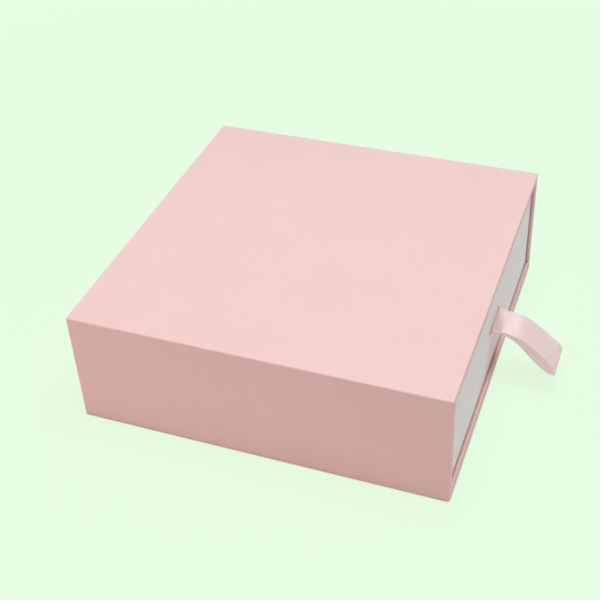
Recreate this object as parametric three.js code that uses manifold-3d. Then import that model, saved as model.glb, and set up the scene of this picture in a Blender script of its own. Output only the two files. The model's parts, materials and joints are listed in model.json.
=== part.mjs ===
// A slide-out gift box: a paper-wrapped greyboard sleeve, open at one end, and a tray drawer with a satin pull.
// Millimetres, +Z up. The origin is the centre of the underside, the mouth faces -Y and the drawer slides out to -Y.
import * as THREE from "three";
import { mergeVertices } from "three/addons/utils/BufferGeometryUtils.js";
import Module from "manifold-3d";

const wasm = await Module();
wasm.setup();

// The box as a whole
const boxWidth = 180;
const boxDepth = 180;
const boxHeight = 60;

// What it is made of
const sleeveBoard = 3;
const drawerBoard = 2;
const paperThickness = 0.25;
const tapeThickness = 0.15;
const ribbonThickness = 0.3;

// The sleeve
const cornerRadius = 0.8;
const cornerSlack = 0.1;
const mouthTurnIn = 15;
const endFlap = 14;
const coverInset = 2.5;
const tapeLeg = 12;
const tapeSetBack = 3;

// The drawer
const drawerRecess = 1.7;
const drawerSideGap = 0.5;
const drawerTopGap = 0.6;
const drawerUnderGap = 0.3;
const drawerBackGap = 0.3;
const rimTurnIn = 12;
const liningDrop = 3;

// The pull
const slitHeight = 2;
const slitEndGap = 1;
const slitRise = 1;
const ribbonWidth = 20;
const ribbonReach = 32.9;
const ribbonDrop = 18.4;
const ribbonRootGap = 0.3;
const ribbonLayerGap = 0.1;
const ribbonTailGap = 1.5;

// How finely the model is cut
const overrun = 5;
const arcSteps = 4;
const ribbonSteps = 72;
const snapSteps = 4096;

// The way the ribbon lies, out from the drawer's front as shares of its reach, and down as shares of its drop
const ribbonPathShares = [
  [0.136, -0.05],
  [0.247, -0.076],
  [0.346, -0.052],
  [0.452, 0.018],
  [0.572, 0.136],
  [0.693, 0.283],
  [0.813, 0.473],
  [0.913, 0.668],
  [0.99, 0.87],
  [0.982, 0.98],
  [0.918, 1],
  [0.813, 0.929],
  [0.699, 0.783],
  [0.587, 0.592],
  [0.491, 0.397],
  [0.392, 0.213],
  [0.271, 0.07],
  [0.136, 0.02],
];

const paint = (color, roughness) => new THREE.MeshStandardMaterial({ color, roughness, metalness: 0 });
const pinkPaper = paint("#e8c4c2", 0.75);
const whitePaper = paint("#f1efec", 0.75);
const greyboard = paint("#a09b93", 0.95);
const gummedTape = paint("#cbb089", 0.85);
const satin = paint("#ecc9cc", 0.4);

// A rectangle in a piece's own drawing plane, u across and v up, and the same one made smaller on every side.
const rectangle = (u0, u1, v0, v1) => ({ u0, u1, v0, v1 });
const inset = (r, by) => rectangle(r.u0 + by, r.u1 - by, r.v0 + by, r.v1 - by);

// The corner radius of each layer. Each is rounder than the layer round it, so that none bites into the next.
const wrapInnerRadius = cornerRadius - paperThickness;
const tapeOuterRadius = wrapInnerRadius + cornerSlack;
const tapeInnerRadius = tapeOuterRadius - tapeThickness + cornerSlack;
const boardRadius = tapeInnerRadius + cornerSlack;

// How deep each layer lies under the outside of a wrapped wall
const tapeDepth = paperThickness;
const boardDepth = tapeDepth + tapeThickness;
const sleeveBoardInnerDepth = boardDepth + sleeveBoard;
const drawerBoardInnerDepth = boardDepth + drawerBoard;

// The sleeve's sections, looking along Y, and its planes along Y
const wrapSection = rectangle(-boxWidth / 2, boxWidth / 2, paperThickness, boxHeight);
const boardSection = inset(wrapSection, boardDepth);
const boardInnerSection = inset(wrapSection, sleeveBoardInnerDepth);
const liningInnerSection = inset(boardInnerSection, paperThickness);
const turnInInnerSection = inset(liningInnerSection, paperThickness);
const mouthY = -boxDepth / 2;
const boardMouthY = mouthY + paperThickness;
const wrapBackY = boxDepth / 2 - paperThickness;
const boardBackY = wrapBackY - paperThickness;
const endBoardY = boardBackY - sleeveBoard;
const liningBackY = endBoardY - paperThickness;

// The drawer, in its own frame with its origin at the centre of its underside
const drawerWidth = turnInInnerSection.u1 - turnInInnerSection.u0 - 2 * drawerSideGap;
const drawerBottom = turnInInnerSection.v0 + drawerUnderGap;
const drawerHeight = turnInInnerSection.v1 - drawerTopGap - drawerBottom;
const drawerFrontY = mouthY + drawerRecess;
const drawerBackY = liningBackY - drawerBackGap;
const drawerDepth = drawerBackY - drawerFrontY;
const drawerPlan = rectangle(-drawerWidth / 2, drawerWidth / 2, -drawerDepth / 2, drawerDepth / 2);
const drawerBoardPlan = inset(drawerPlan, boardDepth);
const drawerBoardInnerPlan = inset(drawerPlan, drawerBoardInnerDepth);
const rimInnerPlan = inset(drawerBoardInnerPlan, paperThickness);
const liningStandOff = Math.max(paperThickness, ribbonThickness);
const liningPlan = inset(drawerBoardInnerPlan, liningStandOff);
const floorPlan = inset(liningPlan, paperThickness);
const drawerFloorZ = paperThickness + drawerBoard;
const drawerRimZ = drawerHeight - paperThickness;
const slitZ = drawerHeight / 2 + slitRise;
const slitWidth = ribbonWidth + 2 * slitEndGap;
const ribbonTail = drawerHeight - rimTurnIn - ribbonTailGap - slitZ;

// A number on the grid, so that faces that touch have the very same place.
function snap(value) {
  return Math.round(value * snapSteps) / snapSteps;
}

function snapped(geometry) {
  const points = geometry.attributes.position;
  for (let i = 0; i < points.count; i += 1) {
    points.setXYZ(i, snap(points.getX(i)), snap(points.getY(i)), snap(points.getZ(i)));
  }
  return geometry;
}

// A closed mesh as a solid that can be cut and joined, and back again.
function solid(geometry) {
  const bare = new THREE.BufferGeometry();
  bare.setAttribute("position", geometry.attributes.position);
  bare.setIndex(geometry.index);
  const merged = mergeVertices(snapped(bare));
  const vertProperties = new Float32Array(merged.attributes.position.array);
  const triVerts = new Uint32Array(merged.index.array);
  return new wasm.Manifold(new wasm.Mesh({ numProp: 3, vertProperties, triVerts }));
}

function geometryOf(body) {
  const { vertProperties, triVerts } = body.getMesh();
  const geometry = new THREE.BufferGeometry();
  geometry.setAttribute("position", new THREE.BufferAttribute(new Float32Array(vertProperties), 3));
  geometry.setIndex(new THREE.BufferAttribute(new Uint32Array(triVerts), 1));
  return geometry;
}

// The outline of a rectangle, with round corners where a radius is given.
function outline(r, radius) {
  const shape = new THREE.Shape();
  if (radius === 0) {
    shape.moveTo(r.u0, r.v0).lineTo(r.u1, r.v0).lineTo(r.u1, r.v1).lineTo(r.u0, r.v1).closePath();
    return shape;
  }
  const turn = Math.PI / 2;
  shape.absarc(r.u1 - radius, r.v0 + radius, radius, -turn, 0, false);
  shape.absarc(r.u1 - radius, r.v1 - radius, radius, 0, turn, false);
  shape.absarc(r.u0 + radius, r.v1 - radius, radius, turn, 2 * turn, false);
  shape.absarc(r.u0 + radius, r.v0 + radius, radius, 2 * turn, 3 * turn, false);
  return shape.closePath();
}

function extrude(shape, length) {
  return new THREE.ExtrudeGeometry(shape, { depth: length, bevelEnabled: false, curveSegments: arcSteps });
}

// A drawing in X and Z, given depth from one Y to another.
function alongY(shape, y0, y1) {
  return solid(extrude(shape, y1 - y0).rotateX(Math.PI / 2).translate(0, y1, 0));
}

// A drawing in X and Y, given height from one Z to another.
function alongZ(shape, z0, z1) {
  return solid(extrude(shape, z1 - z0).translate(0, 0, z0));
}

// A drawing in Y and Z, given width evenly both ways along X.
function acrossX(shape, width) {
  return solid(extrude(shape, width).rotateX(Math.PI / 2).rotateZ(Math.PI / 2).translate(-width / 2, 0, 0));
}

function addPiece(group, name, body, material) {
  const mesh = new THREE.Mesh(snapped(geometryOf(body)), material);
  mesh.name = name;
  group.add(mesh);
}

// The strips of tape that hold the four corners of a ring of boards, as one solid for each corner.
function cornerTapes(makePrism, outer) {
  const inner = inset(outer, tapeThickness);
  const ring = makePrism(outline(outer, tapeOuterRadius)).subtract(makePrism(outline(inner, tapeInnerRadius)));
  const middle = { u: (outer.u0 + outer.u1) / 2, v: (outer.v0 + outer.v1) / 2 };
  const halves = { u: middle.u - outer.u0, v: middle.v - outer.v0 };
  return [-1, 1].flatMap((across) =>
    [-1, 1].map((up) => {
      const corner = { u: middle.u + across * halves.u, v: middle.v + up * halves.v };
      const leg = rectangle(corner.u - tapeLeg, corner.u + tapeLeg, corner.v - tapeLeg, corner.v + tapeLeg);
      return { across, up, body: ring.intersect(makePrism(outline(leg, 0))) };
    }),
  );
}

// The sleeve's five boards. The sides stand on the bottom one and carry the top one, and the end board closes them.
function addSleeveBoards(group) {
  const { u0, u1, v0, v1 } = boardInnerSection;
  const whole = alongY(outline(boardSection, boardRadius), boardMouthY, boardBackY);
  const slab = (r) => alongY(outline(r, 0), boardMouthY, boardBackY);
  const below = rectangle(boardSection.u0, boardSection.u1, boardSection.v0, v0);
  const above = rectangle(boardSection.u0, boardSection.u1, v1, boardSection.v1);
  addPiece(group, "sleeve_bottom_board", whole.intersect(slab(below)), greyboard);
  addPiece(group, "sleeve_top_board", whole.intersect(slab(above)), greyboard);
  addPiece(group, "sleeve_left_board", slab(rectangle(boardSection.u0, u0, v0, v1)), greyboard);
  addPiece(group, "sleeve_right_board", slab(rectangle(u1, boardSection.u1, v0, v1)), greyboard);
  addPiece(group, "sleeve_end_board", alongY(outline(boardInnerSection, 0), endBoardY, boardBackY), greyboard);
}

function addSleeveTapes(group) {
  const prism = (shape) => alongY(shape, boardMouthY + tapeSetBack, boardBackY - tapeSetBack);
  for (const { across, up, body } of cornerTapes(prism, inset(wrapSection, tapeDepth))) {
    const name = `sleeve_tape_${up < 0 ? "bottom" : "top"}_${across < 0 ? "left" : "right"}`;
    addPiece(group, name, body, gummedTape);
  }
}

// The coloured wrap: round the four boards, in over the edges of the mouth, and down over the rim of the closed end.
function sleeveWrap() {
  const outside = alongY(outline(wrapSection, cornerRadius), mouthY, wrapBackY);
  const boards = alongY(outline(inset(wrapSection, tapeDepth), wrapInnerRadius), boardMouthY, boardBackY);
  const turnIn = alongY(outline(liningInnerSection, 0), mouthY, mouthY + mouthTurnIn);
  const mouth = alongY(outline(turnInInnerSection, 0), mouthY - overrun, mouthY + mouthTurnIn + overrun);
  const window = alongY(outline(inset(wrapSection, endFlap), 0), boardBackY - overrun, wrapBackY + overrun);
  return outside.subtract(boards.subtract(turnIn)).subtract(mouth).subtract(window);
}

// The paper that lines the sleeve, a pocket closed at the back.
function sleeveLining() {
  const outside = alongY(outline(boardInnerSection, 0), boardMouthY, endBoardY);
  return outside.subtract(alongY(outline(liningInnerSection, 0), boardMouthY - overrun, liningBackY));
}

function addSleevePapers(group) {
  const basePlan = rectangle(wrapSection.u0, wrapSection.u1, mouthY, wrapBackY);
  addPiece(group, "sleeve_wrap", sleeveWrap(), pinkPaper);
  addPiece(group, "sleeve_lining", sleeveLining(), whitePaper);
  addPiece(group, "sleeve_base_paper", alongZ(outline(inset(basePlan, coverInset), 0), 0, paperThickness), pinkPaper);
  const endSheet = outline(inset(wrapSection, coverInset), 0);
  addPiece(group, "sleeve_end_paper", alongY(endSheet, wrapBackY, boxDepth / 2), pinkPaper);
}

// The slit in the drawer's front that the pull comes through.
function slit() {
  const opening = rectangle(-slitWidth / 2, slitWidth / 2, slitZ - slitHeight / 2, slitZ + slitHeight / 2);
  return alongY(outline(opening, 0), drawerPlan.v0 - overrun, drawerPlan.v0 + overrun);
}

// The drawer's five boards: four walls that stand on the base, the side ones between the front and the rear.
function addDrawerBoards(group) {
  const { u0, u1, v0, v1 } = drawerBoardInnerPlan;
  const whole = outline(drawerBoardPlan, boardRadius);
  const walls = alongZ(whole, drawerFloorZ, drawerRimZ);
  const slab = (r) => alongZ(outline(r, 0), drawerFloorZ, drawerRimZ);
  const front = rectangle(drawerBoardPlan.u0, drawerBoardPlan.u1, drawerBoardPlan.v0, v0);
  const rear = rectangle(drawerBoardPlan.u0, drawerBoardPlan.u1, v1, drawerBoardPlan.v1);
  addPiece(group, "drawer_base_board", alongZ(whole, paperThickness, drawerFloorZ), greyboard);
  addPiece(group, "drawer_front_board", walls.intersect(slab(front)).subtract(slit()), greyboard);
  addPiece(group, "drawer_rear_board", walls.intersect(slab(rear)), greyboard);
  addPiece(group, "drawer_left_board", slab(rectangle(drawerBoardPlan.u0, u0, v0, v1)), greyboard);
  addPiece(group, "drawer_right_board", slab(rectangle(u1, drawerBoardPlan.u1, v0, v1)), greyboard);
}

function addDrawerTapes(group) {
  const prism = (shape) => alongZ(shape, paperThickness, drawerRimZ);
  for (const { across, up, body } of cornerTapes(prism, inset(drawerPlan, tapeDepth))) {
    const name = `drawer_tape_${up < 0 ? "front" : "rear"}_${across < 0 ? "left" : "right"}`;
    addPiece(group, name, body, gummedTape);
  }
}

// The white wrap: under the base, up the walls, over the rim and a little way down inside.
function drawerWrap() {
  const outside = alongZ(outline(drawerPlan, cornerRadius), 0, drawerHeight);
  const boards = alongZ(outline(inset(drawerPlan, tapeDepth), wrapInnerRadius), paperThickness, drawerRimZ);
  const turnIn = alongZ(outline(drawerBoardInnerPlan, 0), drawerHeight - rimTurnIn, drawerHeight);
  const inside = alongZ(outline(rimInnerPlan, 0), drawerHeight - rimTurnIn - overrun, drawerHeight + overrun);
  return outside.subtract(boards.subtract(turnIn)).subtract(inside).subtract(slit());
}

function addDrawerPapers(group) {
  const liningTopZ = drawerHeight - liningDrop;
  const lining = alongZ(outline(liningPlan, 0), drawerFloorZ, liningTopZ);
  const inside = alongZ(outline(floorPlan, 0), drawerFloorZ - overrun, liningTopZ + overrun);
  const floor = alongZ(outline(floorPlan, 0), drawerFloorZ, drawerFloorZ + paperThickness);
  addPiece(group, "drawer_wrap", drawerWrap(), whitePaper);
  addPiece(group, "drawer_wall_lining", lining.subtract(inside), whitePaper);
  addPiece(group, "drawer_floor_lining", floor, whitePaper);
}

// The pull's two ends: through the slit together, then parted up and down and glued to the back of the front board.
function ribbonTails() {
  const front = drawerPlan.v0;
  const glued = drawerBoardInnerPlan.v0;
  const back = glued + ribbonThickness;
  const shape = new THREE.Shape();
  shape.moveTo(front, slitZ - ribbonThickness).lineTo(glued, slitZ - ribbonThickness);
  shape.lineTo(glued, slitZ - ribbonTail).lineTo(back, slitZ - ribbonTail);
  shape.lineTo(back, slitZ + ribbonTail).lineTo(glued, slitZ + ribbonTail);
  shape.lineTo(glued, slitZ + ribbonThickness).lineTo(front, slitZ + ribbonThickness).closePath();
  return acrossX(shape, ribbonWidth);
}

// The line that the ribbon's middle follows, seen from the side: out of the slit on top, round the fold and back below.
function ribbonLine() {
  const rootY = -ribbonRootGap;
  const rootZ = (ribbonThickness + ribbonLayerGap) / 2;
  const path = ribbonPathShares.map(([out, down]) => new THREE.Vector2(-out * ribbonReach, -down * ribbonDrop));
  return new THREE.SplineCurve([new THREE.Vector2(rootY, rootZ), ...path, new THREE.Vector2(rootY, -rootZ)]);
}

function ribbonLoop() {
  const line = ribbonLine();
  const shares = Array.from({ length: ribbonSteps + 1 }, (_, i) => i / ribbonSteps);
  const side = (sign) =>
    shares.map((share) => {
      const along = line.getTangentAt(share);
      const across = new THREE.Vector2(-along.y, along.x).multiplyScalar((sign * ribbonThickness) / 2);
      return line.getPointAt(share).add(across);
    });
  return acrossX(new THREE.Shape([...side(1), ...side(-1).reverse()]), ribbonWidth);
}

function group(name, pieces) {
  const made = new THREE.Group();
  made.name = name;
  for (const add of pieces) {
    add(made);
  }
  return made;
}

const sleeve = group("sleeve", [addSleeveBoards, addSleeveTapes, addSleevePapers]);
const drawer = group("drawer", [addDrawerBoards, addDrawerTapes, addDrawerPapers]);
addPiece(drawer, "ribbon_tails", ribbonTails(), satin);
const ribbon = group("ribbon", [(made) => addPiece(made, "ribbon_loop", ribbonLoop(), satin)]);
drawer.position.set(0, snap((drawerFrontY + drawerBackY) / 2), snap(drawerBottom));
ribbon.position.set(0, snap(-drawerDepth / 2), snap(slitZ));
drawer.add(ribbon);

const giftBox = new THREE.Group();
giftBox.name = "gift_box";
giftBox.add(sleeve, drawer);

export default giftBox;
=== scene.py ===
"""Dresses a slide-out gift box: a pink paper sleeve, a white tray drawer and the satin pull on its front.

Metres, +Z up. The origin is the centre of the underside, the mouth faces -Y and the drawer slides out to -Y.
"""

import json
import logging
import math
from dataclasses import dataclass, field
from enum import Enum
from typing import Any

import bmesh
import bpy
from bpy.types import Camera, Light, Material, Mesh, Node, NodeSocket, NodeTree, Object
from mathutils import Matrix, Vector


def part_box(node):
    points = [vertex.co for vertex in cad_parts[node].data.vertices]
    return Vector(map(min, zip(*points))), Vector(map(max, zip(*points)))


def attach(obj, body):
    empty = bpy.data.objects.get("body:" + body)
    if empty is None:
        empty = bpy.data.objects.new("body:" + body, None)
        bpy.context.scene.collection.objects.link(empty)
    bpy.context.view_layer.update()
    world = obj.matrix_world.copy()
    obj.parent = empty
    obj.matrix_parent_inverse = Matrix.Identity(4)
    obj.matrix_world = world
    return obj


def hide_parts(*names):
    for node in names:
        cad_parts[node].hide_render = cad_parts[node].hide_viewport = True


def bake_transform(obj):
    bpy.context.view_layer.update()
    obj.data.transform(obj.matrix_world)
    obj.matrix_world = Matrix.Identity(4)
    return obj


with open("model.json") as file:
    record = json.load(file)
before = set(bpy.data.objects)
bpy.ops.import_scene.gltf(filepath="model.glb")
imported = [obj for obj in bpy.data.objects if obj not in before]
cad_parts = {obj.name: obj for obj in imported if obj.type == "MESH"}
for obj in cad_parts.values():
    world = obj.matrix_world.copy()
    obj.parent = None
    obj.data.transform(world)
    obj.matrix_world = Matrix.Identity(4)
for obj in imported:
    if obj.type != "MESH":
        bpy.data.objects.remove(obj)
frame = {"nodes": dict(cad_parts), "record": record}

MM = 0.001
log = logging.getLogger("gift_box")

Colour = tuple[float, float, float]
Range = tuple[float, float]
Place = tuple[float, float]
Inputs = dict[str | int, Any]

# Where most of a noise pattern's values lie
COMMON: Range = (0.3, 0.7)
# How far from a roll the sheet's next points lie, so that the roll's shading ends there
SUPPORT = 0.8 * MM
# How folded a sheet is where a roll starts and ends
HALF_ROLLED = 0.6
RIBBON_WIDTH = 20 * MM


class Lay(Enum):
    """Which way a sheet is folded round its section: the sleeve's along Y, the drawer's up Z."""

    ALONG_Y = "along_y"
    UP_Z = "up_z"

    def point(self, u: float, v: float, w: float) -> Vector:
        """A point of the section (u, v), at the place w along the way that the sheet is folded."""
        return Vector((u, w, v)) if self is Lay.ALONG_Y else Vector((u, v, w))


class Coordinates(Enum):
    """What a pattern follows: the piece where it stands, or its own woven length and width."""

    PIECE = "Object"
    CLOTH = "UV"


class Streak(Enum):
    """How a pattern's grain is drawn out, as how much finer it runs along each axis."""

    EVEN = (1.0, 1.0, 1.0)
    ALONG_Y = (1.0, 0.22, 1.0)
    ALONG_CLOTH = (1.0, 0.02, 1.0)


def linear(colour: Colour) -> tuple[float, float, float, float]:
    """Turns a colour as a screen writes it, 0 to 255, into the light that a shader works with.

    Args:
        colour: Red, green and blue from 0 to 255.

    Returns:
        The linear red, green and blue, with an alpha of 1.
    """
    # The sRGB curve
    shares = [c / 255 for c in colour]
    light = [s / 12.92 if s <= 0.04045 else ((s + 0.055) / 1.055) ** 2.4 for s in shares]
    return (light[0], light[1], light[2], 1.0)


class NodeDesk:
    """A node tree being written, with a short call for each kind of node that the finishes share."""

    def __init__(self, tree: NodeTree) -> None:
        """Starts with an empty tree.

        Args:
            tree: The tree of a material, a world or a modifier.
        """
        self.tree = tree
        self.tree.nodes.clear()

    def add(self, kind: str, inputs: Inputs | None = None, **settings: Any) -> Node:
        """Adds a node.

        Args:
            kind: The node's type name.
            inputs: A value or an output for each input that changes, by name or number.
            **settings: Properties of the node, by name.

        Returns:
            The new node.
        """
        node = self.tree.nodes.new(kind)
        for name, value in settings.items():
            setattr(node, name, value)
        self.feed(node, inputs or {})
        return node

    def feed(self, node: Node, inputs: Inputs) -> None:
        """Gives some of a node's inputs a plain value or an output to follow.

        Args:
            node: The node.
            inputs: A value or an output for each of them, by name or number.
        """
        for name, value in inputs.items():
            if isinstance(value, NodeSocket):
                self.tree.links.new(value, node.inputs[name])
            else:
                node.inputs[name].default_value = value

    def math(self, operation: str, first: Any, second: Any = 0.0) -> NodeSocket:
        """Works out one sum of two numbers or outputs."""
        return self.add("ShaderNodeMath", {0: first, 1: second}, operation=operation).outputs[0]

    def remap(self, value: Any, within: tuple[Any, Any], onto: Range = (0.0, 1.0)) -> NodeSocket:
        """Spreads a value from one range smoothly over another.

        Args:
            value: A number or an output.
            within: Where the first range starts and ends, as numbers or outputs.
            onto: The results at the start and before it, and at the end and past it.

        Returns:
            The result.
        """
        inputs = dict(enumerate((value, *within, *onto)))
        return self.add("ShaderNodeMapRange", inputs, interpolation_type="SMOOTHSTEP").outputs[0]

    def blend(self, share: Any, first: Any, second: Any) -> NodeSocket:
        """Mixes two colours, with the given share of the second one."""
        inputs = {"Factor": share, 6: first, 7: second}
        return self.add("ShaderNodeMix", inputs, data_type="RGBA").outputs[2]

    def mix(self, share: Any, first: NodeSocket, second: NodeSocket) -> NodeSocket:
        """Mixes two shaders, with the given share of the second one."""
        return self.add("ShaderNodeMixShader", {0: share, 1: first, 2: second}).outputs[0]

    def attribute(self, name: str) -> NodeSocket:
        """The values that a piece's mesh holds under a name."""
        return self.add("ShaderNodeAttribute", attribute_name=name).outputs["Fac"]

    def split(self, place: NodeSocket) -> dict[str, NodeSocket]:
        """The X, Y and Z of a place, by name."""
        outputs = self.add("ShaderNodeSeparateXYZ", {0: place}).outputs
        return {name: outputs[name] for name in "XYZ"}

    def join(self, **parts: NodeSocket) -> NodeSocket:
        """Puts a place together from its x, y and z, of which those not given are 0."""
        inputs = {name.upper(): part for name, part in parts.items()}
        return self.add("ShaderNodeCombineXYZ", inputs).outputs[0]

    def principled(self, inputs: Inputs) -> NodeSocket:
        """Makes a Principled shader."""
        return self.add("ShaderNodeBsdfPrincipled", inputs).outputs["BSDF"]

    def show(self, surface: NodeSocket, output: str = "ShaderNodeOutputMaterial") -> None:
        """Makes a shader what the tree shows."""
        self.add(output, {"Surface": surface})

    def average(self, first: NodeSocket, second: NodeSocket, weight: float) -> NodeSocket:
        """Averages two patterns.

        Args:
            first: A pattern.
            second: A pattern.
            weight: How much the first one counts, from 0 to 1.

        Returns:
            The pattern that they make.
        """
        rest = self.math("MULTIPLY", second, 1 - weight)
        return self.math("ADD", self.math("MULTIPLY", first, weight), rest)

    def noise(self, follows: Coordinates, grain: float, streak: Streak, detail: float) -> NodeSocket:
        """Makes an even random pattern.

        Args:
            follows: What the pattern lies on.
            grain: The size of its grains, in metres.
            streak: How the grains are drawn out.
            detail: How many finer patterns lie in it.

        Returns:
            The pattern, about 0.5 on average.
        """
        place = self.add("ShaderNodeTexCoord").outputs[follows.value]
        scale = [s / grain for s in streak.value]
        drawn = self.add("ShaderNodeMapping", {"Vector": place, "Scale": scale}).outputs["Vector"]
        texture = self.add("ShaderNodeTexNoise", {"Vector": drawn, "Scale": 1.0, "Detail": detail})
        return texture.outputs["Fac"]

    def bump(self, height: Any, depth: float, below: NodeSocket | None = None) -> NodeSocket:
        """Turns a pattern into relief.

        Args:
            height: The pattern, from 0 to 1.
            depth: How deep the relief is, in metres.
            below: Relief that this one lies on.

        Returns:
            The normal.
        """
        inputs: Inputs = {"Strength": 1.0, "Distance": depth, "Height": height}
        if below is not None:
            inputs["Normal"] = below
        return self.add("ShaderNodeBump", inputs).outputs["Normal"]


def new_material(name: str) -> tuple[Material, NodeDesk]:
    """Starts a material.

    Args:
        name: The material's name.

    Returns:
        The material and its tree, which is empty.
    """
    material = bpy.data.materials.new(name)
    material.use_nodes = True
    return material, NodeDesk(material.node_tree)


@dataclass(frozen=True)
class PaperFinish:
    """Uncoated tinted paper: faint clouds in the pulp, short fibres, a paler rub along the folds, and dark
    joint marks with painted shade in creases, recesses and the slit.
    """

    name: str
    tint: Colour
    shade: Colour
    rubbed: Colour
    joint: Colour
    dark_mark_and_shade_share: float = 0.8
    cloud: float = 22 * MM
    cloud_weight: float = 0.6
    patch: float = 4 * MM
    mottle_range: Range = (0.35, 0.65)
    mottle_share: float = 0.35
    fibre: float = 0.35 * MM
    fibre_range: Range = (0.5, 0.75)
    fibre_share: float = 0.25
    fibre_depth: float = 0.012 * MM
    fleck: float = 1.4 * MM
    fleck_range: Range = (0.82, 0.86)
    fleck_share: float = 0.18
    wear_range: Range = (0.4, 0.6)
    wear: Range = (0.25, 0.6)
    wave_depth: float = 0.05 * MM
    roughness: Range = (0.57, 0.67)
    specular: float = 0.35
    sheen: float = 0.12
    sheen_roughness: float = 0.5

    def material(self) -> Material:
        """Builds the paper's material.

        Returns:
            The material.
        """
        made, desk = new_material(self.name)
        clouds = desk.noise(Coordinates.PIECE, self.cloud, Streak.EVEN, detail=2)
        patches = desk.noise(Coordinates.PIECE, self.patch, Streak.EVEN, detail=3)
        fibres = desk.noise(Coordinates.PIECE, self.fibre, Streak.ALONG_Y, detail=4)
        flecks = desk.noise(Coordinates.PIECE, self.fleck, Streak.EVEN, detail=0)
        mottle = desk.average(clouds, patches, self.cloud_weight)
        mottled = desk.remap(mottle, self.mottle_range, (0.0, self.mottle_share))
        pulp = desk.blend(mottled, linear(self.tint), linear(self.shade))
        fibrous = desk.remap(fibres, self.fibre_range, (0.0, self.fibre_share))
        speckled = desk.blend(fibrous, pulp, linear(self.shade))
        flecked = desk.remap(flecks, self.fleck_range, (0.0, self.fleck_share))
        specked = desk.blend(flecked, speckled, linear(self.joint))
        worn = desk.math("MULTIPLY", desk.attribute("fold"), desk.remap(patches, self.wear_range, self.wear))
        rubbed = desk.blend(worn, specked, linear(self.rubbed))
        # Dark joint marks and painted shade: inside corners, the deep part of the mouth and the slit's cut
        # edges take the dark colour
        marks_and_shade = desk.math("MAXIMUM", desk.attribute("joint"), desk.attribute("cut"))
        darkened = desk.blend(desk.math("MULTIPLY", marks_and_shade, self.dark_mark_and_shade_share), rubbed, linear(self.joint))
        waves = desk.bump(clouds, self.wave_depth)
        inputs: Inputs = {
            "Base Color": darkened,
            "Normal": desk.bump(fibres, self.fibre_depth, waves),
            "Roughness": desk.remap(patches, COMMON, self.roughness),
            "Specular IOR Level": self.specular,
            "Sheen Weight": self.sheen,
            "Sheen Roughness": self.sheen_roughness,
        }
        desk.show(desk.principled(inputs))
        return made


PINK = PaperFinish(
    "pink_paper",
    tint=(240, 207, 205),
    shade=(235, 201, 199),
    rubbed=(243, 205, 204),
    joint=(150, 105, 106),
)
WHITE = PaperFinish(
    "white_paper",
    tint=(246, 246, 247),
    shade=(242, 241, 241),
    rubbed=(248, 248, 246),
    joint=(176, 168, 158),
)
LINING = PaperFinish(
    "lining_paper",
    tint=(244, 241, 236),
    shade=(239, 235, 229),
    rubbed=(246, 244, 240),
    joint=(170, 162, 152),
)


@dataclass(frozen=True)
class GreyboardFinish:
    """Recycled greyboard: a grey-brown pulp with darker flecks and pale fibres."""

    name: str = "greyboard"
    pulp: Colour = (163, 157, 148)
    fleck: Colour = (104, 98, 92)
    pale: Colour = (196, 190, 180)
    fleck_size: float = 0.7 * MM
    fleck_range: Range = (0.6, 0.7)
    fleck_share: float = 0.8
    fibre_size: float = 0.9 * MM
    fibre_range: Range = (0.45, 0.7)
    fibre_share: float = 0.7
    relief: float = 0.05 * MM
    roughness: float = 0.92
    specular: float = 0.2

    def material(self) -> Material:
        """Builds the board's material.

        Returns:
            The material.
        """
        made, desk = new_material(self.name)
        flecks = desk.noise(Coordinates.PIECE, self.fleck_size, Streak.EVEN, detail=2)
        fibres = desk.noise(Coordinates.PIECE, self.fibre_size, Streak.ALONG_Y, detail=5)
        fibrous = desk.remap(fibres, self.fibre_range, (0.0, self.fibre_share))
        paled = desk.blend(fibrous, linear(self.pulp), linear(self.pale))
        flecked = desk.remap(flecks, self.fleck_range, (0.0, self.fleck_share))
        inputs: Inputs = {
            "Base Color": desk.blend(flecked, paled, linear(self.fleck)),
            "Normal": desk.bump(fibres, self.relief),
            "Roughness": self.roughness,
            "Specular IOR Level": self.specular,
        }
        desk.show(desk.principled(inputs))
        return made


@dataclass(frozen=True)
class TapeFinish:
    """Gummed kraft tape: brown paper with long fibres and a dull shine from the dried gum."""

    name: str = "gummed_tape"
    kraft: Colour = (203, 176, 137)
    dark: Colour = (171, 141, 102)
    fibre_size: float = 0.6 * MM
    fibre_range: Range = (0.35, 0.7)
    relief: float = 0.02 * MM
    roughness: Range = (0.47, 0.67)

    def material(self) -> Material:
        """Builds the tape's material.

        Returns:
            The material.
        """
        made, desk = new_material(self.name)
        fibres = desk.noise(Coordinates.PIECE, self.fibre_size, Streak.ALONG_Y, detail=5)
        fibrous = desk.remap(fibres, self.fibre_range)
        inputs: Inputs = {
            "Base Color": desk.blend(fibrous, linear(self.kraft), linear(self.dark)),
            "Normal": desk.bump(fibres, self.relief),
            "Roughness": desk.remap(fibres, COMMON, self.roughness),
        }
        desk.show(desk.principled(inputs))
        return made


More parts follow.
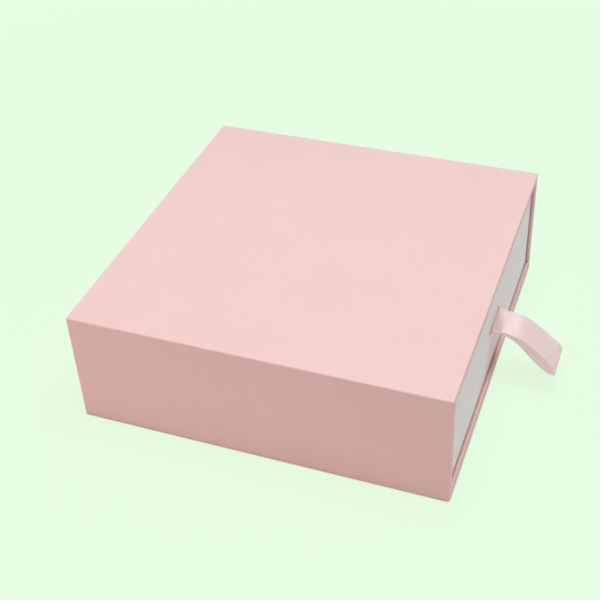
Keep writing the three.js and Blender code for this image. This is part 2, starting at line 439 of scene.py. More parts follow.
@dataclass(frozen=True)
class SatinFinish:
    """Woven satin: threads along the ribbon, thicker and thinner in places, and a firm edge on each side."""

    name: str = "satin_ribbon"
    thread: Colour = (255, 243, 247)
    shadow: Colour = (254, 236, 241)
    edge: Colour = (255, 247, 250)
    thread_width: float = 0.16 * MM
    thread_weight: float = 0.5
    thread_depth: float = 0.012 * MM
    slub: float = 3.5 * MM
    tone_range: Range = (0.38, 0.62)
    shadow_share: float = 0.5
    edge_width: float = 0.7 * MM
    edge_blur: float = 0.1 * MM
    edge_share: float = 0.5
    edge_depth: float = 0.06 * MM
    roughness: Range = (0.51, 0.61)
    anisotropy: float = 0.85
    lustre: float = 0.4
    thinness: float = 0.6

    def material(self) -> Material:
        """Builds the satin's material.

        Returns:
            The material.
        """
        made, desk = new_material(self.name)
        threads = desk.noise(Coordinates.CLOTH, self.thread_width, Streak.ALONG_CLOTH, detail=2)
        slubs = desk.noise(Coordinates.CLOTH, self.slub, Streak.EVEN, detail=2)
        across = desk.split(desk.add("ShaderNodeTexCoord").outputs["UV"])["X"]
        off_middle = desk.math("ABSOLUTE", desk.math("SUBTRACT", across, RIBBON_WIDTH / 2))
        inner = RIBBON_WIDTH / 2 - self.edge_width
        rim = desk.remap(off_middle, (inner - self.edge_blur, inner + self.edge_blur))
        tone = desk.average(threads, slubs, self.thread_weight)
        toned = desk.remap(tone, self.tone_range, (0.0, self.shadow_share))
        woven = desk.blend(toned, linear(self.thread), linear(self.shadow))
        edged = desk.blend(desk.math("MULTIPLY", rim, self.edge_share), woven, linear(self.edge))
        raised = desk.bump(rim, self.edge_depth)
        inputs: Inputs = {
            "Base Color": edged,
            "Normal": desk.bump(threads, self.thread_depth, raised),
            "Roughness": desk.remap(slubs, COMMON, self.roughness),
            "Tangent": desk.add("ShaderNodeTangent", direction_type="UV_MAP").outputs["Tangent"],
            "Anisotropic": self.anisotropy,
            "Metallic": self.lustre,
        }
        through = desk.add("ShaderNodeBsdfTranslucent", {"Color": edged}).outputs[0]
        desk.show(desk.mix(self.thinness, desk.principled(inputs), through))
        return made


def put_in(name: str, data: Camera | Light | Mesh) -> Object:
    """Puts something in the scene.

    Args:
        name: The object's name.
        data: What it shows.

    Returns:
        The object.
    """
    made = bpy.data.objects.new(name, data)
    bpy.context.scene.collection.objects.link(made)
    return made


@dataclass(frozen=True)
class Section:
    """A rectangle with round corners, in the plane that a sheet is folded round."""

    left: float
    right: float
    low: float
    high: float
    radius: float = 0.8 * MM
    least_radius: float = 0.15 * MM
    corner_steps: int = 8
    supports: tuple[float, ...] = (0.25 * MM, SUPPORT, 3 * MM)

    def ring(self, inset: float, blunt: float) -> list[Place]:
        """The section made smaller on every side, as a ring of points that always has as many.

        Args:
            inset: How much smaller, in metres.
            blunt: How much rounder its corners are, in metres.

        Returns:
            The points, in one turn.
        """
        radius = max(self.radius + blunt - inset, self.least_radius)
        left, right = self.left + inset + radius, self.right - inset - radius
        low, high = self.low + inset + radius, self.high - inset - radius
        corners = [(right, low, -90), (right, high, 0), (left, high, 90), (left, low, 180)]
        points: list[Place] = []
        for (u, v, start), (next_u, next_v, turn) in zip(corners, corners[1:] + corners[:1]):
            for step in range(self.corner_steps + 1):
                angle = math.radians(start + 90 * step / self.corner_steps)
                points.append((u + radius * math.cos(angle), v + radius * math.sin(angle)))
            first = Vector(points[-1])
            opening = math.radians(turn)
            last = Vector((next_u + radius * math.cos(opening), next_v + radius * math.sin(opening)))
            along = (last - first).normalized()
            marks = [first + along * gap for gap in self.supports] + [(first + last) / 2]
            marks += [last - along * gap for gap in reversed(self.supports)]
            points += [(mark.x, mark.y) for mark in marks]
        return points


@dataclass(frozen=True)
class Fold:
    """A place on a sheet's way: how far along and in it lies, how folded, how blunt, and how much shade is
    painted on it inside.
    """

    along: float
    inset: float
    folded: float = 0.0
    blunt: float = 0.0
    inside: bool = False
    shade: float = 0.0


def quarter_roll(start: Place, end: Place, hub: Place) -> list[Fold]:
    """Rolls a sheet a quarter turn over a board's edge.

    Args:
        start: How far along and how far in the roll starts.
        end: Where it ends.
        hub: The middle of the roll.

    Returns:
        The places on the way, without the first and the last.
    """
    steps = 6
    first, last = Vector(start) - Vector(hub), Vector(end) - Vector(hub)
    rolled = []
    for step in range(1, steps):
        turn = math.pi / 2 * step / steps
        place = Vector(hub) + first * math.cos(turn) + last * math.sin(turn)
        rolled.append(Fold(place.x, place.y, 1.0))
    return rolled


def flapped_edge(edge: float, way: int, flap: float, roll: float) -> list[Fold]:
    """Takes a sheet from its flap, over the edge and onto the walls.

    Args:
        edge: Where the flap lies, along the way.
        way: 1 if the walls lie towards more from there, -1 if towards less.
        flap: How far in from the walls the flap starts.
        roll: The radius of its fold.

    Returns:
        The places on the way.
    """
    at_roll = edge + way * roll
    return [
        Fold(edge, flap),
        Fold(edge, roll + SUPPORT),
        Fold(edge, roll, HALF_ROLLED),
        *quarter_roll((edge, roll), (at_roll, 0.0), (at_roll, roll)),
        Fold(at_roll, 0.0, HALF_ROLLED),
        Fold(at_roll + way * SUPPORT, 0.0),
    ]


def wrapped_edge(
    edge: float, way: int, wall: float, turn_in: float, roll: float, blunt: float, shade: float = 0.0
) -> list[Fold]:
    """Takes a sheet over the edge of a wall and down its other side.

    Args:
        edge: Where the wall ends, along the way.
        way: 1 if the wall ends towards more, -1 if towards less.
        wall: How thick the wall is with its papers.
        turn_in: How far the sheet goes down the other side.
        roll: The radius of its two folds.
        blunt: How much rounder the corners are at the edge.
        shade: How much shade is painted on the sheet where it lies deep inside the edge.

    Returns:
        The places on the way.
    """
    at_roll = edge - way * roll
    outer = quarter_roll((at_roll, 0.0), (edge, roll), (at_roll, roll))
    inner = quarter_roll((edge, wall - roll), (at_roll, wall), (at_roll, wall - roll))
    # Painted shade deep inside the edge: it starts at dusk and is full from dark on, where shade falls in
    # the opening
    dusk, dark = 1.0 * MM, 1.6 * MM
    dusk_share, first_blunt, next_blunt = 0.45, 0.4, 0.8
    return [
        Fold(at_roll - way * 3 * SUPPORT, 0.0),
        Fold(at_roll - way * SUPPORT, 0.0, blunt=blunt * first_blunt),
        Fold(at_roll, 0.0, HALF_ROLLED, blunt * next_blunt),
        *[Fold(fold.along, fold.inset, 1.0, blunt) for fold in outer],
        Fold(edge, roll, HALF_ROLLED, blunt),
        Fold(edge, wall / 2),
        Fold(edge, wall - roll, HALF_ROLLED),
        *inner,
        Fold(at_roll, wall, HALF_ROLLED, inside=True),
        Fold(edge - way * dusk, wall, inside=True, shade=shade * dusk_share),
        Fold(edge - way * dark, wall, inside=True, shade=shade),
        Fold(edge - way * turn_in, wall, inside=True, shade=shade),
    ]


@dataclass
class WrapSheet:
    """A sheet of paper folded round a box of boards, built as one surface and then given its thickness."""

    name: str
    lay: Lay
    section: Section
    folds: list[Fold]
    thickness: float = 0.24 * MM
    closed_start: bool = False
    cutters: list[list[Vector]] = field(default_factory=list)

    def surface(self) -> Mesh:
        """Builds the side of the paper that shows.

        Returns:
            The surface, with values on each point for how folded it is and how dark its joint mark and
            painted shade are there.
        """
        same_place = 0.005 * MM
        mesh = bmesh.new()
        folded = mesh.verts.layers.float.new("fold")
        joint = mesh.verts.layers.float.new("joint")
        rings = []
        for fold in self.folds:
            points = self.section.ring(fold.inset, fold.blunt)
            ring = [mesh.verts.new(self.lay.point(u, v, fold.along)) for u, v in points]
            for index, vertex in enumerate(ring):
                corner = self.corner_share(index)
                vertex[folded] = 0.0 if fold.inside else max(fold.folded, corner)
                # Inside, a corner gets a dark joint mark with painted shade in its crease, and the deep part
                # of an edge gets painted shade
                vertex[joint] = max(corner, fold.shade) if fold.inside else 0.0
            rings.append(ring)
        for near, far in zip(rings, rings[1:]):
            for index in range(len(near)):
                after = (index + 1) % len(near)
                mesh.faces.new((near[index], near[after], far[after], far[index]))
        if self.closed_start:
            mesh.faces.new(rings[0])
        bmesh.ops.remove_doubles(mesh, verts=mesh.verts, dist=same_place)
        bmesh.ops.recalc_face_normals(mesh, faces=mesh.faces)
        made = bpy.data.meshes.new(self.name)
        mesh.to_mesh(made)
        mesh.free()
        return made

    def corner_share(self, index: int) -> float:
        """How folded a ring's point is by its place on the ring, which is 1 on a round corner; inside a
        turn-in it is the corner's dark joint mark with painted shade.
        """
        span = self.section.corner_steps + 2 + 2 * len(self.section.supports)
        return 1.0 if index % span <= self.section.corner_steps else 0.0

    def build(self, material: Material) -> Object:
        """Gives the sheet its thickness, cuts its joints and slits, and softens its shading.

        Args:
            material: The paper's material.

        Returns:
            The finished piece.
        """
        piece = put_in(self.name, self.surface())
        wall = piece.modifiers.new("thickness", "SOLIDIFY")
        wall.thickness = self.thickness
        wall.offset = -1.0
        wall.use_even_offset = True
        tools = [prism(f"{self.name}_cutter_{number}", points) for number, points in enumerate(self.cutters)]
        for tool in tools:
            cut = piece.modifiers.new("cut", "BOOLEAN")
            cut.operation = "DIFFERENCE"
            cut.solver = "EXACT"
            cut.object = tool
        settle(piece)
        for tool in tools:
            bpy.data.objects.remove(tool)
        soften(piece)
        piece.data.materials.clear()
        piece.data.materials.append(material)
        return piece


def prism(name: str, points: list[Vector]) -> Object:
    """Builds a short solid between two end faces with as many points each.

    Args:
        name: The solid's name.
        points: The points of one end, then those of the other in the same order.

    Returns:
        The solid.
    """
    mesh = bmesh.new()
    half = len(points) // 2
    near = [mesh.verts.new(point) for point in points[:half]]
    far = [mesh.verts.new(point) for point in points[half:]]
    mesh.faces.new(near)
    mesh.faces.new(reversed(far))
    for index in range(half):
        after = (index + 1) % half
        mesh.faces.new((near[after], near[index], far[index], far[after]))
    bmesh.ops.recalc_face_normals(mesh, faces=mesh.faces)
    made = bpy.data.meshes.new(name)
    mesh.to_mesh(made)
    mesh.free()
    return put_in(name, made)


def settle(piece: Object) -> None:
    """Turns what a piece's modifiers make into its own plain mesh, and takes them off.

    Args:
        piece: The piece.
    """
    bpy.context.view_layer.update()
    evaluated = piece.evaluated_get(bpy.context.evaluated_depsgraph_get())
    made = bpy.data.meshes.new_from_object(evaluated)
    made.name = piece.name
    piece.modifiers.clear()
    piece.data = made


def soften(piece: Object, sharp_degrees: float = 38.0) -> None:
    """Shades a piece smoothly over its folds, and leaves its cut edges crisp.

    Args:
        piece: The piece.
        sharp_degrees: The angle past which an edge stays crisp.
    """
    mesh = bmesh.new()
    mesh.from_mesh(piece.data)
    for face in mesh.faces:
        face.smooth = True
    for edge in mesh.edges:
        edge.smooth = edge.calc_face_angle(0.0) < math.radians(sharp_degrees)
    mesh.to_mesh(piece.data)
    mesh.free()
    weighted = piece.modifiers.new("even_shading", "WEIGHTED_NORMAL")
    weighted.keep_sharp = True
    weighted.weight = 80
    settle(piece)


def grooves(lay: Lay, section: Section, wall: float, edge: float, into: int) -> list[list[Vector]]:
    """The wedges that open the four joints between wrapped edges.

    Args:
        lay: How the sheet is folded.
        section: What it is folded round.
        wall: How thick the walls are with their papers.
        edge: Where the face that the joints lie in is, along the way that the sheet is folded.
        into: 1 if the walls lie towards more from that face, -1 if towards less.

    Returns:
        Each wedge's two ends, three points each.
    """
    half, depth, lip = 0.28 * MM, 0.5 * MM, 0.1 * MM
    outside, length = 0.3 * MM, wall + 0.2 * MM
    wedges = []
    for v in (section.low + wall, section.high - wall):
        for side, outward in ((section.right, 1), (section.left, -1)):
            start = side + outward * outside
            ends = []
            for u in (start, start - outward * length):
                ends.append(lay.point(u, v - outward * half, edge - into * lip))
                ends.append(lay.point(u, v + outward * half, edge - into * lip))
                ends.append(lay.point(u, v, edge + into * depth))
            wedges.append(ends)
    return wedges


@dataclass
class Sleeve:
    """The pink sleeve: five boards, tape on their long edges, a wrap, a lining and two cover papers."""

    wall: float = 3.9 * MM
    turn_in: float = 15 * MM
    end_flap: float = 14 * MM
    roll: float = 0.6 * MM
    mouth_roll: float = 0.4 * MM
    blunt: float = 0.3 * MM
    # How dark the painted shade is deep inside the mouth, where little light reaches
    inside_shade: float = 0.8

    def wrap(self, material: Material) -> Object:
        """Builds the pink wrap, with the four joints that its folds leave at the mouth.

        Args:
            material: The pink paper.

        Returns:
            The wrap.
        """
        low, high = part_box("sleeve_wrap")
        section = Section(low.x, high.x, low.z, high.z)
        end = flapped_edge(high.y, -1, self.end_flap, self.roll)
        mouth = wrapped_edge(
            low.y, -1, self.wall, self.turn_in, self.mouth_roll, self.blunt, self.inside_shade
        )
        folds = [*end, Fold(0.0, 0.0), *mouth]
        joints = grooves(Lay.ALONG_Y, section, self.wall, low.y, 1)
        return WrapSheet("sleeve_wrap_sheet", Lay.ALONG_Y, section, folds, cutters=joints).build(material)

    def dress(self, material: Material) -> None:
        """Puts the wrap on the sleeve, in place of its plain solid.

        Args:
            material: The pink paper.
        """
        piece = self.wrap(material)
        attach(piece, "sleeve")
        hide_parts("sleeve_wrap")
        log.info("sleeve wrap: %d faces", len(piece.data.polygons))


@dataclass
class Drawer:
    """The white drawer: five boards, tape on the upright corners, a wrap and linings."""

    wall: float = 2.65 * MM
    turn_in: float = 12 * MM
    base_flap: float = 30 * MM
    roll: float = 0.9 * MM
    rim_roll: float = 0.5 * MM
    blunt: float = 0.5 * MM
    slit_end_gap: float = 1 * MM
    slit_height: float = 2 * MM
    slit_reach: float = 1 * MM

    def slit(self) -> list[Vector]:
        """The opening that the ribbon comes through, as the solid that cuts it.

        Returns:
            The solid's two ends, four points each.
        """
        low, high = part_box("ribbon_tails")
        middle = (low.z + high.z) / 2
        half_width, half_height = high.x + self.slit_end_gap, self.slit_height / 2
        ends = []
        for y in (low.y - self.slit_reach, low.y + self.slit_reach):
            for x, z in ((-1, -1), (1, -1), (1, 1), (-1, 1)):
                ends.append(Vector((x * half_width, y, middle + z * half_height)))
        return ends

    def paint_slit_shade(self, piece: Object) -> None:
        """Paints shade on the cut edges of the slit, which hardly any light reaches.

        Args:
            piece: The wrap, with its slit cut.
        """
        corners = self.slit()
        near = 0.02 * MM
        mesh = piece.data
        # The 'cut' value paints shade on the slit's cut edges
        cut = mesh.attributes.new("cut", "FLOAT", "CORNER")
        within = [
            abs(vertex.co.x) <= corners[1].x + near
            and corners[0].z - near <= vertex.co.z <= corners[2].z + near
            and vertex.co.y <= corners[-1].y
            for vertex in mesh.vertices
        ]
        for polygon in mesh.polygons:
            if all(within[index] for index in polygon.vertices):
                for corner in polygon.loop_indices:
                    cut.data[corner].value = 1.0

    def wrap(self, material: Material) -> Object:
        """Builds the white wrap, with its slit and the four joints on its rim.

        Args:
            material: The white paper.

        Returns:
            The wrap.
        """
        low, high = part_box("drawer_wrap")
        section = Section(low.x, high.x, low.y, high.y)
        base = flapped_edge(low.z, 1, self.base_flap, self.roll)
        rim = wrapped_edge(high.z, 1, self.wall, self.turn_in, self.rim_roll, self.blunt)
        cuts = [self.slit(), *grooves(Lay.UP_Z, section, self.wall, high.z, -1)]
        sheet = WrapSheet(
            "drawer_wrap_sheet", Lay.UP_Z, section, base + rim, closed_start=True, cutters=cuts
        )
        piece = sheet.build(material)
        self.paint_slit_shade(piece)
        return piece

    def dress(self, material: Material) -> None:
        """Puts the wrap on the drawer, in place of its plain solid.

        Args:
            material: The white paper.
        """
        piece = self.wrap(material)
        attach(piece, "drawer")
        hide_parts("drawer_wrap")
        log.info("drawer wrap: %d faces", len(piece.data.polygons))


@dataclass
class RibbonPull:
    """The satin pull: one strip, glued behind the drawer's front, out through the slit, round and back."""

    width: float = RIBBON_WIDTH
    thickness: float = 0.3 * MM
    tail: float = 11 * MM
    tail_start: float = 1.2 * MM
    glue_line: float = 2.55 * MM
    throat: float = 0.6 * MM
    lip: float = 0.4 * MM
    layer: float = 0.2 * MM
    cup: float = 0.12 * MM
    ripple: float = 0.12 * MM
    ripples_per_metre: float = 90.0
    step: float = 0.4 * MM
    smoothing: int = 8
    line_parts: int = 20
    across_steps: int = 16
    # How steeply the strip leans to one side, and the share of that which is left at its tip
    lean: float = 0.15
    tip_share: float = 0.4
    # How far out from the drawer's front it comes to lean, and where it levels off
    leaning: Range = (0.5 * MM, 6 * MM)
    tip: Range = (26 * MM, 33 * MM)
    # The middle of the loop as millimetres out from the drawer's front and up from the slit
    loop: tuple[Place, ...] = (
        (4.3, 0.55),
        (6.9, 0.45),
        (9.5, 0.0),
        (12.5, -0.7),
        (15.5, -2.0),
        (18.3, -3.9),
        (21.2, -6.0),
        (23.9, -8.0),
        (26.6, -10.3),
        (28.9, -12.3),
        (31.1, -14.6),
        (32.5, -16.9),
        (32.3, -18.6),
        (30.9, -19.2),
        (28.6, -18.5),
        (25.9, -16.9),
        (22.7, -14.3),
        (19.1, -10.5),
        (15.9, -7.1),
        (13.3, -4.6),
        (10.4, -2.6),
        (7.2, -1.2),
    )

    def corners(self) -> list[Place]:
        """The strip's whole way, tail to tail, as metres out from the drawer's front and up from the slit.

        Returns:
            The points that it passes.
        """
        inside = self.glue_line
        tail = [(-inside, self.tail), (-inside, self.tail / 2), (-inside, self.tail_start)]
        upper = [*tail, (-inside + self.throat, self.layer), (self.lip, self.layer)]
        lower = [(out, -up) for out, up in reversed(upper)]
        return upper + [(out * MM, up * MM) for out, up in self.loop] + lower

    def line(self) -> list[Place]:
        """Draws one smooth line through the strip's way, with points at even steps.

        Returns:
            The points, as metres out and up.
        """
        corners = [Vector(point) for point in self.corners()]
        dense = []
        padded = [corners[0], *corners, corners[-1]]
        for before, start, end, after in zip(padded, padded[1:], padded[2:], padded[3:]):
            for part in range(self.line_parts):
                dense.append(catmull_rom(before, start, end, after, part / self.line_parts))
        dense.append(corners[-1])
        points = even_steps(dense, self.step)
        for _ in range(self.smoothing):
            inner = [(a + 2 * b + c) / 4 for a, b, c in zip(points, points[1:], points[2:])]
            points = [points[0], *inner, points[-1]]
        return [(point.x, point.y) for point in even_steps(points, self.step)]

    def path(self) -> tuple[Object, float]:
        """Puts the line in front of the drawer as a chain of edges.

        Returns:
            The chain, and its length in metres.
        """
        low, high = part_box("ribbon_tails")
        middle = (low.z + high.z) / 2
        points = [Vector((0.0, low.y - out, middle + up)) for out, up in self.line()]
        length = sum((b - a).length for a, b in zip(points, points[1:]))
        chain = bpy.data.meshes.new("ribbon_path")
        chain.from_pydata(points, [(i, i + 1) for i in range(len(points) - 1)], [])
        return put_in("ribbon_strip", chain), length

    def measured(self, desk: NodeDesk, curve: NodeSocket, name: str) -> dict[str, NodeSocket]:
        """Keeps on a curve's points how far along it they lie.

        Args:
            desk: The tree.
            curve: The curve.
            name: What that length is to be called.

        Returns:
            The curve as "Geometry", and the length under its name.
        """
        node = desk.add("GeometryNodeCaptureAttribute", domain="POINT")
        node.capture_items.new("FLOAT", name)
        length = desk.add("GeometryNodeSplineParameter").outputs["Length"]
        desk.feed(node, {"Geometry": curve, name: length})
        return {key: node.outputs[key] for key in ("Geometry", name)}

    def tree(self) -> NodeTree:
        """Builds the Geometry Nodes tree that weaves a flat strip along a chain of edges.

        Returns:
            The tree.
        """
        tree = bpy.data.node_groups.new("weave_ribbon", "GeometryNodeTree")
        desk = NodeDesk(tree)
        face = tree.interface
        face.new_socket("Path", in_out="INPUT", socket_type="NodeSocketGeometry")
        for name in ("Width", "Cup", "Lean", "Lean Start", "Lean End", "Tip Start", "Tip End", "Ripple"):
            face.new_socket(name, in_out="INPUT", socket_type="NodeSocketFloat")
        face.new_socket("Across Steps", in_out="INPUT", socket_type="NodeSocketInt")
        face.new_socket("Satin", in_out="INPUT", socket_type="NodeSocketMaterial")
        face.new_socket("Ribbon", in_out="OUTPUT", socket_type="NodeSocketGeometry")
        given = desk.add("NodeGroupInput").outputs
        half = desk.math("MULTIPLY", given["Width"], 0.5)

        curve = desk.add("GeometryNodeMeshToCurve", {"Mesh": given["Path"]}).outputs["Curve"]
        along = self.measured(desk, curve, "Along")
        start, end = desk.join(x=desk.math("MULTIPLY", half, -1.0)), desk.join(x=half)
        line = desk.add("GeometryNodeCurvePrimitiveLine", {"Start": start, "End": end}).outputs["Curve"]
        weft = desk.add("GeometryNodeResampleCurve", {"Curve": line, "Count": given["Across Steps"]})
        across = self.measured(desk, weft.outputs["Curve"], "Across")
        ways = {"Curve": along["Geometry"], "Profile Curve": across["Geometry"]}
        strip = desk.add("GeometryNodeCurveToMesh", ways).outputs["Mesh"]

        place = desk.split(desk.add("GeometryNodeInputPosition").outputs[0])
        side = desk.math("DIVIDE", place["X"], half)
        bowl = desk.math("MULTIPLY", desk.math("MULTIPLY", side, side), given["Cup"])
        grown = desk.remap(place["Y"], (given["Lean Start"], given["Lean End"]))
        level = desk.remap(place["Y"], (given["Tip Start"], given["Tip End"]), (-1.0, -self.tip_share))
        fall = desk.math("MULTIPLY", place["X"], desk.math("MULTIPLY", given["Lean"], level))
        waves = desk.add("ShaderNodeTexNoise", {"Scale": self.ripples_per_metre, "Detail": 0.0})
        wavy = desk.math("MULTIPLY", desk.math("SUBTRACT", waves.outputs["Fac"], 0.5), given["Ripple"])
        lift = desk.math("ADD", desk.math("ADD", fall, bowl), desk.math("MULTIPLY", wavy, 2.0))
        offset = desk.join(z=desk.math("MULTIPLY", lift, grown))
        bent = desk.add("GeometryNodeSetPosition", {"Geometry": strip, "Offset": offset})

        flat = desk.join(x=across["Across"], y=along["Along"])
        cloth = {"Geometry": bent.outputs["Geometry"], "Name": "UVMap", "Value": flat}
        laid = desk.add("GeometryNodeStoreNamedAttribute", cloth, data_type="FLOAT2", domain="CORNER")
        real = desk.add("GeometryNodeRealizeInstances", {"Geometry": laid.outputs["Geometry"]})
        dye = {"Geometry": real.outputs["Geometry"], "Material": given["Satin"]}
        dyed = desk.add("GeometryNodeSetMaterial", dye)
        desk.add("NodeGroupOutput", {"Ribbon": dyed.outputs["Geometry"]})
        return tree

    def strip(self, material: Material) -> tuple[Object, float]:
        """Weaves the strip along its path and gives it its thickness.

        Args:
            material: The satin.

        Returns:
            The strip, and its length in metres.
        """
        carrier, length = self.path()
        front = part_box("ribbon_tails")[0].y
        tree = self.tree()
        values = {
            "Width": self.width,
            "Cup": self.cup,
            "Lean": self.lean,
            "Lean Start": front - self.leaning[0],
            "Lean End": front - self.leaning[1],
            "Tip Start": front - self.tip[0],
            "Tip End": front - self.tip[1],
            "Ripple": self.ripple,
            "Across Steps": self.across_steps + 1,
            "Satin": material,
        }
        weave = carrier.modifiers.new("weave", "NODES")
        weave.node_group = tree
        for item in tree.interface.items_tree:
            if item.name in values:
                weave[item.identifier] = values[item.name]
        settle(carrier)
        wall = carrier.modifiers.new("thickness", "SOLIDIFY")
        wall.thickness = self.thickness
        wall.offset = 0.0
        settle(carrier)
        return carrier, length

    def dress(self, material: Material) -> None:
        """Puts the strip at the drawer's front, in place of the loop and the glued tails.

        Args:
            material: The satin.
        """
        piece, length = self.strip(material)
        for polygon in piece.data.polygons:
            polygon.use_smooth = True
        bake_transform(piece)
        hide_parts("ribbon_loop", "ribbon_tails")
        log.info("ribbon: %.1f mm long, %d faces", length / MM, len(piece.data.polygons))


def catmull_rom(before: Vector, start: Vector, end: Vector, after: Vector, share: float) -> Vector:
    """A point on the smooth line through four others.

    Args:
        before: The point before the stretch.
        start: Where the stretch starts.
        end: Where it ends.
        after: The point after it.
        share: How far along the stretch, from 0 to 1.

    Returns:
        The point.
    """
    square, cube = share**2, share**3
    first = 2 * start + (end - before) * share
    second = (2 * before - 5 * start + 4 * end - after) * square
    third = (3 * start - before - 3 * end + after) * cube
    return (first + second + third) / 2


def even_steps(points: list[Vector], step: float) -> list[Vector]:
    """Puts points at even steps on a chain.

    Args:
        points: The chain's points.
        step: About how far apart they come to be, in metres.

    Returns:
        The new points, from the first to the last.
    """
    lengths = [0.0]
    for start, end in zip(points, points[1:]):
        lengths.append(lengths[-1] + (end - start).length)
    count = max(2, round(lengths[-1] / step))
    spaced, index = [], 0
    for number in range(count + 1):
        wanted = lengths[-1] * number / count
        while index < len(lengths) - 2 and lengths[index + 1] < wanted:
            index += 1
        stretch = lengths[index + 1] - lengths[index]
        share = (wanted - lengths[index]) / stretch if stretch > 0 else 0.0
        spaced.append(points[index].lerp(points[index + 1], share))
    return spaced


@dataclass(frozen=True)
class Lamp:
    """A wide soft lamp that faces the box."""

    name: str
    watts: float
    size: float
    place: tuple[float, float, float]
    tint: Colour = (255, 255, 255)

    def hang(self) -> None:
        """Puts the lamp in its place."""
        light = bpy.data.lights.new(self.name, "AREA")
        light.shape = "SQUARE"
        light.size = self.size
        light.energy = self.watts
        light.color = linear(self.tint)[:3]
        lamp = put_in(self.name, light)
        lamp.location = self.place
        lamp.rotation_euler = (-Vector(self.place)).to_track_quat("-Z", "Y").to_euler()


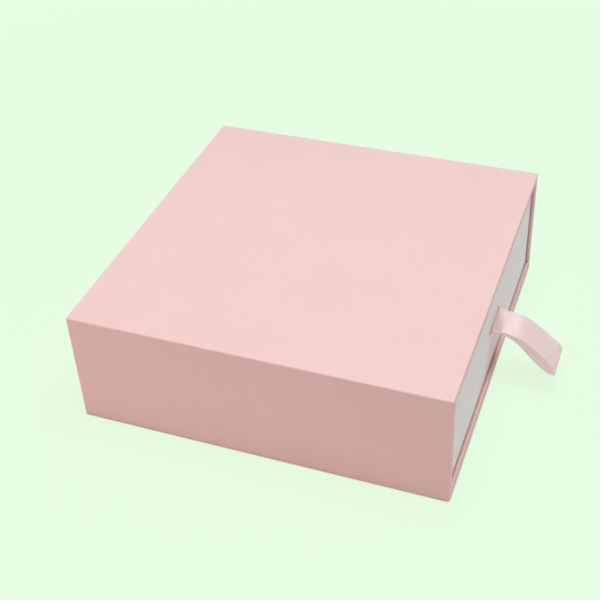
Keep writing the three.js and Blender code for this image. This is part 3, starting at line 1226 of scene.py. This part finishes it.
@dataclass
class Studio:
    """The floor, the light and the camera, none of which is part of the box."""

    backdrop: Colour = (231, 254, 228)
    bounce: Colour = (230, 221, 217)
    camera_place: tuple[float, float, float] = (-0.4153, -0.1587, 0.3804)
    camera_aim: tuple[float, float, float] = (0.0198, 0.0109, 0.03)
    camera_roll: float = 2.582
    lens: float = 67.391
    sensor: float = 36.0
    shift: tuple[float, float] = (-0.02333, -0.06333)
    fill: float = 0.36
    fill_light: tuple[float, ...] = (1.0, 0.995, 0.99, 1.0)
    floor_reach: float = 4.0
    # How much of the lamps' shadow the floor shows, and how far out that fades, in metres
    shadow_share: float = 0.14
    shadow_fade: Range = (0.2, 0.6)
    # The thin shade under the box's edges: how near it lies, and how open a spot has it and has it no more
    contact: Colour = (188, 152, 142)
    contact_reach: float = 1.3 * MM
    contact_range: Range = (0.5, 0.85)
    lamps: tuple[Lamp, ...] = (
        Lamp("overhead", watts=7.1, size=0.6, place=(0.0, -0.12, 1.1)),
        Lamp("left", watts=0.97, size=0.5, place=(-0.45, 0.42, 0.33), tint=(255, 204, 194)),
        Lamp("mouth", watts=0.45, size=0.9, place=(-0.05, -0.95, 0.6)),
    )

    def camera(self) -> None:
        """Sets the camera where the photograph was taken from."""
        lens = bpy.data.cameras.new("camera")
        lens.lens = self.lens
        lens.sensor_width = self.sensor
        lens.shift_x, lens.shift_y = self.shift
        camera = put_in("camera", lens)
        place = Vector(self.camera_place)
        ahead = (Vector(self.camera_aim) - place).normalized()
        level = ahead.cross(Vector((0, 0, 1))).normalized()
        upright = level.cross(ahead)
        roll = math.radians(self.camera_roll)
        up = upright * math.cos(roll) + level * math.sin(roll)
        right = ahead.cross(up)
        turned = Matrix((right, up, -ahead)).transposed().to_4x4()
        camera.matrix_world = Matrix.Translation(place) @ turned
        bpy.context.scene.camera = camera

    def seen(self, desk: NodeDesk) -> NodeSocket:
        """Tells a ray that shows the backdrop, straight on or mirrored, from one that only carries light.

        Args:
            desk: The tree that asks.

        Returns:
            1 for a ray that shows it, or 0.
        """
        ray = desk.add("ShaderNodeLightPath").outputs
        shown = desk.math("MAXIMUM", ray["Is Camera Ray"], ray["Is Glossy Ray"])
        return desk.math("MAXIMUM", shown, ray["Is Transmission Ray"])

    def world(self) -> None:
        """Fills the studio with even light, and shows the backdrop's colour behind the floor."""
        world = bpy.data.worlds.new("studio")
        world.use_nodes = True
        desk = NodeDesk(world.node_tree)
        even = desk.add("ShaderNodeBackground", {"Color": self.fill_light, "Strength": self.fill})
        behind = desk.add("ShaderNodeBackground", {"Color": linear(self.backdrop)})
        desk.show(desk.mix(self.seen(desk), even.outputs[0], behind.outputs[0]), "ShaderNodeOutputWorld")
        bpy.context.scene.world = world

    def floor(self) -> None:
        """Lays the pale floor, which keeps a soft shadow of the box and shows a thin painted shade along its
        edges.
        """
        sheet = bpy.data.meshes.new("floor")
        ways = ((-1, -1), (1, -1), (1, 1), (-1, 1))
        corners = [(x * self.floor_reach, y * self.floor_reach, 0.0) for x, y in ways]
        sheet.from_pydata(corners, [], [(0, 1, 2, 3)])
        material, desk = new_material("floor")
        lit = desk.add("ShaderNodeBsdfDiffuse", {"Color": linear(self.backdrop)}).outputs[0]
        carries = desk.add("ShaderNodeBsdfDiffuse", {"Color": linear(self.bounce)}).outputs[0]
        # Painted shade: the shown colour turns to the contact colour where the box stands close by
        closeness = desk.add("ShaderNodeAmbientOcclusion", {"Distance": self.contact_reach}, samples=16)
        contact_shade_share = desk.remap(closeness.outputs["AO"], self.contact_range, (1.0, 0.0))
        tint = desk.blend(contact_shade_share, linear(self.backdrop), linear(self.contact))
        plain = desk.add("ShaderNodeEmission", {"Color": tint}).outputs[0]
        spot = desk.add("ShaderNodeTexCoord").outputs["Object"]
        away = desk.add("ShaderNodeVectorMath", {0: spot}, operation="LENGTH").outputs["Value"]
        shaded = desk.remap(away, self.shadow_fade, (self.shadow_share, 0.0))
        shown = desk.mix(shaded, plain, lit)
        desk.show(desk.mix(self.seen(desk), carries, shown))
        floor = put_in("floor", sheet)
        floor.data.materials.append(material)

    def build(self) -> None:
        """Sets the studio up."""
        bpy.context.scene.view_settings.view_transform = "Standard"
        self.camera()
        self.world()
        self.floor()
        for lamp in self.lamps:
            lamp.hang()


def dress_solids(materials: dict[str, Material]) -> None:
    """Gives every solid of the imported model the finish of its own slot.

    Args:
        materials: The material of each slot, by the slot's name.
    """
    for part in frame["record"]["subparts"]:
        solid = frame["nodes"][part["node"]]
        solid.data.materials.clear()
        solid.data.materials.append(materials[part["material_slot"]])
    log.info("solids: %d dressed", len(frame["nodes"]))


def main() -> None:
    """Dresses the box and sets up the studio."""
    logging.basicConfig(level=logging.INFO, format="%(name)s: %(message)s")
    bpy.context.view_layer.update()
    Studio().build()
    finishes = [PINK, WHITE, LINING, GreyboardFinish(), TapeFinish(), SatinFinish()]
    materials = {finish.name: finish.material() for finish in finishes}
    dress_solids(materials)
    Sleeve().dress(materials["pink_paper"])
    Drawer().dress(materials["white_paper"])
    RibbonPull().dress(materials["satin_ribbon"])


if __name__ == "__main__":
    main()
